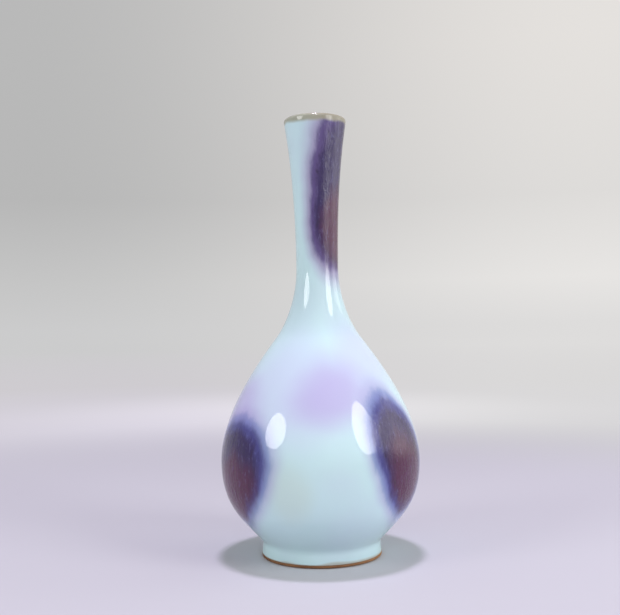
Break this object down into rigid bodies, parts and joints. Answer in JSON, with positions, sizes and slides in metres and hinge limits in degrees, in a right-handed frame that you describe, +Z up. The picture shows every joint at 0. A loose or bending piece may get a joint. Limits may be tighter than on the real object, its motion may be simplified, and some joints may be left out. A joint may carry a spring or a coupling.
{
  "type": "long-neck vase",
  "caption": "Round-bellied ceramic bottle vase with a long flared neck, a low foot ring, and a pale opalescent glaze with purple splashes.",
  "frame": {"origin": "centre of the foot ring's resting face, on the surface that the vase stands on", "axes": "+Z up the vase's axis, -Y towards the viewer of the front, +X to the right seen from the front"},
  "size_m": [0.1136, 0.1136, 0.2503],
  "materials": {
    "clay": "matt bare stoneware, fired brown",
    "luting_slip": "matt",
    "pale_glaze": "glossy opalescent pale blue",
    "thin_glaze": "glossy olive tan where the glaze runs thin",
    "purple_glaze": "glossy mottled purple"
  },
  "bodies": {
    "root": {"foot_ring": "clay", "lower_body": "clay", "upper_body": "clay", "neck": "clay", "foot_slip": "luting_slip", "belly_slip": "luting_slip", "neck_slip": "luting_slip", "base_glaze": "pale_glaze", "inner_glaze": "pale_glaze", "lip_glaze": "thin_glaze", "outer_glaze": "pale_glaze", "neck_splash": "purple_glaze", "left_splash": "purple_glaze", "right_splash": "purple_glaze", "back_splash": "purple_glaze"}
  },
  "joints": []
}
